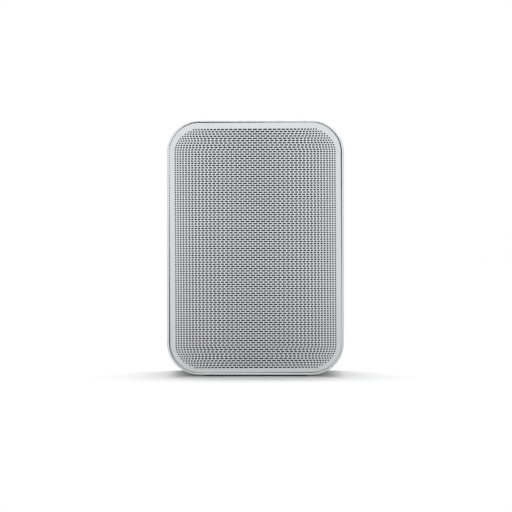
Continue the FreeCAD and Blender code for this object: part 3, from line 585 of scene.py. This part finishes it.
def metal_front():
    """The pressed sheet: a slotted field, a plain border, a rolled edge and a return round the frame."""
    sheet = bmesh.new()
    for row in range(slot_rows):
        add_drawing(sheet, slotted_strip(row))
    bmesh.ops.remove_doubles(sheet, verts=sheet.verts[:], dist=merge_distance)
    border = [edge for edge in sheet.edges if edge.is_boundary]
    field_edge = [edge for edge in border if all(on_field_edge(vert) for vert in edge.verts)]
    move(sheet, 0.0, -field_drop, 0.0)
    outline = rounded_face(plate_width - 2 * plate_edge, plate_height - 2 * plate_edge,
                           plate_corner - plate_edge, corner_steps)
    bmesh.ops.delete(outline, geom=outline.faces[:], context="FACES_ONLY")
    add_drawing(sheet, outline)
    rim = [edge for edge in sheet.edges if edge.is_wire]
    bmesh.ops.triangle_fill(sheet, use_beauty=True, edges=field_edge + rim, normal=(0.0, 0.0, 1.0))
    turns = [math.pi / 2 * step / edge_steps for step in range(edge_steps + 1)]
    for before, after in zip(turns, turns[1:]):
        rim_verts = new_verts(bmesh.ops.extrude_edge_only(sheet, edges=rim))
        for vert in rim_verts:
            vert.co += outwards(vert) * plate_edge * (math.sin(after) - math.sin(before))
            vert.co.z -= plate_edge * (math.cos(before) - math.cos(after))
        rim = edges_between(rim_verts)
    rim_verts = new_verts(bmesh.ops.extrude_edge_only(sheet, edges=rim))
    bmesh.ops.translate(sheet, vec=(0.0, 0.0, plate_edge - plate_return), verts=rim_verts)
    bmesh.ops.recalc_face_normals(sheet, faces=sheet.faces[:])
    bmesh.ops.solidify(sheet, geom=sheet.faces[:], thickness=plate_sheet)
    turn(sheet, plate_turn_deg, "Z")
    face_front(sheet, 0.0, front_y, front_middle - plate_drop)
    piece("metal_front", sheet, "grille_paint", stands_for=("front_grille",))


def front_cloth():
    """The dark cloth stretched over the frame behind the slots."""
    cloth = rounded_face(cloth_width, cloth_height, cloth_corner, corner_steps)
    bmesh.ops.solidify(cloth, geom=cloth.faces[:], thickness=cloth_thickness)
    face_front(cloth, 0.0, cloth_front, front_middle)
    made = piece("front_cloth", cloth, "black_cloth", stands_for=("grille_cloth",))


# Pad

def rubber_pad():
    """The pad that the body stands on, with a soft edge and one groove round its sole."""
    pad = rounded_face(pad_width, pad_depth, pad_corner, pad_corner_steps)
    made = bmesh.ops.extrude_face_region(pad, geom=pad.faces[:], use_keep_orig=True)
    bmesh.ops.translate(pad, vec=(0.0, 0.0, pad_height), verts=new_verts(made))
    bmesh.ops.recalc_face_normals(pad, faces=pad.faces[:])
    lower_edges = [edge for edge in pad.edges if max(vert.co.z for vert in edge.verts) < near]
    bmesh.ops.bevel(pad, geom=lower_edges, offset=pad_edge, offset_type="OFFSET", segments=pad_edge_steps,
                    profile=0.5, affect="EDGES", material=-1)
    sole = [min(pad.faces, key=lambda face: face.calc_center_median().z)]
    rings = [bmesh.ops.inset_region(pad, faces=sole, thickness=width, use_even_offset=True)["faces"]
             for width in (groove_inset, groove_slope, groove_floor, groove_slope)]
    lifted = list({vert for face in rings[2] for vert in face.verts})
    bmesh.ops.translate(pad, vec=(0.0, 0.0, groove_depth), verts=lifted)
    move(pad, 0.0, pad_middle, 0.0)
    piece("rubber_pad", pad, "pad_rubber", stands_for=("base_pad",))


# Drivers

def bend_along_radius(made, axis_z):
    """Lays each point of a ring on a line at its own radius from the driver's axis.

    Then it bakes the ring's placement into its mesh and puts every point back where it was."""
    places = [vert.co.copy() for vert in made.data.vertices]
    for vert in made.data.vertices:
        vert.co = (math.hypot(vert.co.x, vert.co.z - axis_z * MM), 0.0, 0.0)
    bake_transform(made)
    for vert, place in zip(made.data.vertices, places):
        vert.co = place


def turn_profile(profile, axis_z, y, sheet):
    """Spins a profile into a ring of sheet about a driver's axis.

    The profile is drawn as the radius along X and the rise towards the front along Z."""
    bmesh.ops.spin(profile, geom=profile.verts[:] + profile.edges[:], axis=(0.0, 0.0, 1.0), angle=2 * math.pi,
                   steps=driver_steps, use_merge=True)
    close_up(profile)
    bmesh.ops.solidify(profile, geom=profile.faces[:], thickness=sheet)
    face_front(profile, 0.0, y, axis_z)
    return profile


def half_roll(name, node, slot, moving, axis_z, y, inner, middle, outer, roll, sheet):
    """A driver's surround: a flat land on each side of a half roll that stands forward."""
    profile = bmesh.new()
    first = profile.verts.new((middle - roll, 0.0, 0.0))
    bmesh.ops.spin(profile, geom=[first], cent=(middle, 0.0, 0.0), axis=(0.0, 1.0, 0.0), angle=math.pi,
                   steps=roll_steps)
    foot = max(profile.verts, key=lambda vert: vert.co.x)
    for start, end in ((first, inner), (foot, outer)):
        land = bmesh.ops.extrude_vert_indiv(profile, verts=[start])["verts"][0]
        land.co = (end, 0.0, 0.0)
    made = piece(name, turn_profile(profile, axis_z, y, sheet), slot, body=None, stands_for=(node,))
    bend_along_radius(made, axis_z)


def corrugated_spider():
    """The woofer's centring disc, with rolls that stand forward and back by turns."""
    profile = bmesh.new()
    line = [profile.verts.new((radius, 0.0, 0.0))
            for radius in (spider_inner, spider_rolls_start, spider_rolls_end, spider_outer)]
    runs = [profile.edges.new(pair) for pair in zip(line, line[1:])]
    bmesh.ops.subdivide_edges(profile, edges=[runs[1]], cuts=spider_roll_steps * spider_rolls - 1)
    for vert in profile.verts:
        if spider_rolls_start < vert.co.x < spider_rolls_end:
            share = (vert.co.x - spider_rolls_start) / (spider_rolls_end - spider_rolls_start)
            vert.co.z = spider_rise * math.sin(math.pi * spider_rolls * share)
    ring = turn_profile(profile, woofer_z, spider_y, spider_sheet)
    made = piece("centring_spider", ring, "spider_cloth", body=None, stands_for=("woofer_spider",),
                 sharp_deg=80.0)
    bend_along_radius(made, woofer_z)


# Back

def cross_screw(x):
    """A flush screw with a cross recess, seen from the back."""
    screw = bmesh.new()
    bmesh.ops.create_grid(screw, x_segments=3, y_segments=3, size=recess_size / 2)
    bmesh.ops.delete(screw, geom=off_the_cross(screw, recess_size / 6), context="FACES")
    cross = screw.faces[:]
    mouth = [edge for edge in screw.edges if edge.is_boundary]
    head = bmesh.ops.create_circle(screw, cap_ends=False, radius=screw_head, segments=screw_steps)["verts"]
    rim = edges_between(head)
    bmesh.ops.triangle_fill(screw, use_beauty=True, edges=mouth + rim, normal=(0.0, 0.0, 1.0))
    sunk = new_verts(bmesh.ops.extrude_face_region(screw, geom=cross))
    bmesh.ops.delete(screw, geom=cross, context="FACES")
    bmesh.ops.scale(screw, vec=(recess_taper, recess_taper, 1.0), verts=sunk)
    bmesh.ops.translate(screw, vec=(0.0, 0.0, -recess_depth), verts=sunk)
    head_height = screw_head - screw_radius
    for share, drop in ((screw_radius / screw_head, head_height), (1.0, screw_length - head_height)):
        verts = new_verts(bmesh.ops.extrude_edge_only(screw, edges=rim))
        bmesh.ops.scale(screw, vec=(share, share, 1.0), verts=verts)
        bmesh.ops.translate(screw, vec=(0.0, 0.0, -drop), verts=verts)
        rim = edges_between(verts)
    bmesh.ops.holes_fill(screw, edges=rim, sides=0)
    close_up(screw)
    face_back(screw, x, panel_face, panel_z)
    return screw


def rear_screws():
    pair = bmesh.new()
    for side in (-1, 1):
        add_drawing(pair, cross_screw(side * screw_x))
    piece("cross_screws", pair, "screw_steel", stands_for=("rear_panel_screws",))


def insert_thread():
    """The thread in the brass insert, as one ridge that winds along the bore."""
    ridge = bmesh.new()
    root = thread_radius + thread_root
    crest = thread_radius - thread_crest
    half = thread_pitch * thread_half_width
    verts = [ridge.verts.new(place) for place in ((root, -half, 0.0), (crest, 0.0, 0.0), (root, half, 0.0))]
    section = [ridge.edges.new(pair) for pair in zip(verts, verts[1:] + verts[:1])]
    bmesh.ops.spin(ridge, geom=verts + section, axis=(0.0, 1.0, 0.0),
                   dvec=(0.0, thread_pitch / thread_steps, 0.0),
                   angle=2 * math.pi * thread_turns, steps=thread_steps * thread_turns)
    bmesh.ops.holes_fill(ridge, edges=[edge for edge in ridge.edges if edge.is_boundary], sides=0)
    close_up(ridge)
    move(ridge, 0.0, insert_face - thread_pitch * (thread_turns + thread_start), insert_z)
    piece("insert_thread", ridge, "insert_brass", sharp_deg=50.0)


def jack_rings():
    """A plated ring round the mouth of each jack."""
    both = bmesh.new()
    for x in jack_places:
        ring = bmesh.new()
        section = bmesh.ops.create_grid(ring, x_segments=1, y_segments=1, size=0.5)["verts"]
        bmesh.ops.scale(ring, vec=(jack_ring - jack_bore, jack_ring_depth, 1.0), verts=section)
        bmesh.ops.bevel(ring, geom=section, offset=jack_ring_edge, offset_type="OFFSET", segments=3,
                        profile=0.5, affect="VERTICES", material=-1)
        bmesh.ops.delete(ring, geom=ring.faces[:], context="FACES_ONLY")
        move(ring, (jack_ring + jack_bore) / 2, 0.0, 0.0)
        bmesh.ops.spin(ring, geom=ring.verts[:] + ring.edges[:], axis=(0.0, 1.0, 0.0), angle=2 * math.pi,
                       steps=jack_steps, use_merge=True)
        close_up(ring)
        move(ring, x, panel_face, panel_z)
        add_drawing(both, ring)
    piece("jack_rings", both, "shield_steel")


def bar(width, length, height, edge):
    """A small bar along Y with soft edges."""
    drawing = bmesh.new()
    bmesh.ops.create_cube(drawing, size=1.0)
    bmesh.ops.scale(drawing, vec=(width, length, height), verts=drawing.verts)
    bmesh.ops.bevel(drawing, geom=drawing.edges[:], offset=edge, offset_type="OFFSET", segments=1,
                    profile=0.5, affect="EDGES", material=-1)
    return drawing


def socket_contacts():
    """Eight sprung wires in the network socket, and four strips under the tongue of the data socket."""
    wires = bmesh.new()
    for index in range(network_wires):
        wire = bar(**network_wire)
        turn(wire, network_wire_tilt_deg, "X")
        across = (index - (network_wires - 1) / 2) * network_pitch
        move(wire, network_x + across, network_wire_y, panel_z + network_wire_rise)
        add_drawing(wires, wire)
    piece("network_contacts", wires, "contact_metal")
    strips = bmesh.new()
    for index in range(data_strips):
        strip = bar(**data_strip)
        across = (index - (data_strips - 1) / 2) * data_pitch
        move(strip, data_x + across, data_strip_y, panel_z - data_strip_drop)
        add_drawing(strips, strip)
    piece("data_contacts", strips, "contact_metal")


# Keys

def flat_mark(width, depth):
    mark = bmesh.new()
    bmesh.ops.create_grid(mark, x_segments=1, y_segments=1, size=0.5)
    bmesh.ops.scale(mark, vec=(width, depth, 1.0), verts=mark.verts)
    return mark


def raise_mark(name, mark, x, body):
    """Gives a flat mark its thickness on the top of a key."""
    bmesh.ops.solidify(mark, geom=mark.faces[:], thickness=2 * mark_rise)
    move(mark, x, 0.0, key_top)
    piece(name, mark, "key_panel_grey", body=body)


def key_marks():
    """A minus, a triangle with two bars, and a plus."""
    raise_mark("minus_mark", flat_mark(mark_length, mark_bar), -key_pitch, "volume_down_key")

    play = bmesh.new()
    bmesh.ops.create_circle(play, cap_ends=True, radius=triangle_radius, segments=3)
    turn(play, -90.0, "Z")
    move(play, triangle_x, 0.0, 0.0)
    for x in stroke_places:
        stroke = flat_mark(mark_bar, stroke_length)
        move(stroke, x, 0.0, 0.0)
        add_drawing(play, stroke)
    raise_mark("play_mark", play, 0.0, "play_key")

    plus = bmesh.new()
    bmesh.ops.create_grid(plus, x_segments=3, y_segments=3, size=mark_length / 2)
    for vert in plus.verts:
        for axis in (0, 1):
            if abs(vert.co[axis]) < mark_length / 4:
                vert.co[axis] = math.copysign(mark_bar / 2, vert.co[axis])
    bmesh.ops.delete(plus, geom=off_the_cross(plus, mark_bar / 2), context="FACES")
    raise_mark("plus_mark", plus, key_pitch, "volume_up_key")


# Studio

# Each broad lamp has a level, the way it shines and the spread that softens its shadow
broad_lamps = {
    "top_light": (0.38, (0.0, -0.2126, -1.0), 22.0),
    "left_light": (0.22, (0.34, -0.26, -1.0), 26.0),
    "right_light": (0.22, (-0.34, -0.26, -1.0), 26.0),
    "front_left_light": (0.285, (0.643, 0.766, -0.3), 50.0),
    "front_right_light": (0.285, (-0.643, 0.766, -0.3), 50.0),
}
spot_level = 0.41
spot_place = (0.0, -1600.0, 420.0)
spot_target = (0.0, front_y, 150.0)
spot_cone_deg = 18.0
spot_softness = 100.0
lamp_height = 1000.0
sky_light = 0.05

# The floor shows white, and throws back less light than it shows
floor_half = 40000.0
floor_white = 0.97
floor_shade = 0.3
floor_glow = 0.045

camera_place = (0.35, -1235.0, 85.2)
camera_lens = 119.6
camera_sensor = 36.0
camera_reach = 100000.0


def place_lamp(name, light, place, direction):
    made = bpy.data.objects.new(name, light)
    made.location = Vector(place) * MM
    made.rotation_euler = Vector(direction).to_track_quat("-Z", "Y").to_euler()
    bpy.context.collection.objects.link(made)


def broad_lamp(name, level, direction, spread_deg):
    """Even light from one side. At a level of 1 a white card that faces it renders white."""
    light = bpy.data.lights.new(name, "SUN")
    light.energy = level * math.pi
    light.angle = math.radians(spread_deg)
    place_lamp(name, light, (0.0, 0.0, lamp_height), direction)


def spot_lamp(name, level, place, target, cone_deg):
    """Light that has its level at the target and fades evenly outwards from there."""
    direction = Vector(target) - Vector(place)
    light = bpy.data.lights.new(name, "SPOT")
    light.energy = level * (2 * math.pi * direction.length * MM) ** 2
    light.spot_size = math.radians(cone_deg)
    light.spot_blend = 1.0
    light.shadow_soft_size = spot_softness * MM
    place_lamp(name, light, place, direction)


def seen_directly(finish):
    """1 where a ray comes from the camera, a reflection or through clear plastic."""
    camera, gloss, through = [finish.node("ShaderNodeLightPath", output=name)
                              for name in ("Is Camera Ray", "Is Glossy Ray", "Is Transmission Ray")]
    return finish.math("MAXIMUM", finish.math("MAXIMUM", camera, gloss), through)


def white_room():
    """A sky that shows white and lights the speaker only dimly."""
    world = bpy.data.worlds.new("white_room")
    sky = Finish(world)
    dim, white = [sky.node("ShaderNodeBackground", {}, {"Color": tone(1.0, 1.0, 1.0), "Strength": strength})
                  for strength in (sky_light, 1.0)]
    mixed = sky.node("ShaderNodeMixShader", {}, {0: seen_directly(sky), 1: dim, 2: white})
    sky.node("ShaderNodeOutputWorld", {}, {"Surface": mixed})
    bpy.context.scene.world = world


def paper_floor():
    """A white floor that keeps the speaker's shadow."""
    drawing = bmesh.new()
    bmesh.ops.create_grid(drawing, x_segments=1, y_segments=1, size=floor_half * MM)
    mesh = bpy.data.meshes.new("floor")
    drawing.to_mesh(mesh)
    drawing.free()
    paper = Finish(bpy.data.materials.new("floor_paper"))
    white, shade = [paper.node("ShaderNodeBsdfDiffuse", {}, {"Color": tone(level, level, level)})
                    for level in (floor_white, floor_shade)]
    glow = paper.node("ShaderNodeEmission", {}, {"Strength": floor_glow})
    lit = paper.node("ShaderNodeAddShader", {}, {0: white, 1: glow})
    shown = paper.node("ShaderNodeMixShader", {}, {0: seen_directly(paper), 1: shade, 2: lit})
    paper.node("ShaderNodeOutputMaterial", {}, {"Surface": shown})
    mesh.materials.append(paper.owner)
    floor = bpy.data.objects.new("floor", mesh)
    bpy.context.collection.objects.link(floor)


def front_camera():
    """The camera looks level at the front."""
    camera = bpy.data.cameras.new("camera")
    camera.sensor_width = camera_sensor
    camera.lens = camera_lens
    camera.clip_end = camera_reach * MM
    eye = bpy.data.objects.new("camera", camera)
    eye.location = Vector(camera_place) * MM
    eye.rotation_euler = (math.radians(90.0), 0.0, 0.0)
    bpy.context.collection.objects.link(eye)
    bpy.context.scene.camera = eye


def studio():
    bpy.context.scene.view_settings.view_transform = "Standard"
    white_room()
    paper_floor()
    for name, (level, direction, spread_deg) in broad_lamps.items():
        broad_lamp(name, level, direction, spread_deg)
    spot_lamp("front_spot", spot_level, spot_place, spot_target, spot_cone_deg)
    front_camera()


for item in frame["record"]["subparts"]:
    for holder in frame["nodes"][item["node"]].material_slots:
        holder.material = finishes[item["material_slot"]]

metal_front()
front_cloth()
rubber_pad()
half_roll("woofer_roll", "woofer_surround", "roll_rubber", "woofer_moving", woofer_z, **woofer_roll_size)
half_roll("tweeter_roll", "tweeter_surround", "dome_silk", "tweeter_moving", tweeter_z, **tweeter_roll_size)
corrugated_spider()
rear_screws()
insert_thread()
jack_rings()
socket_contacts()
key_marks()
studio()
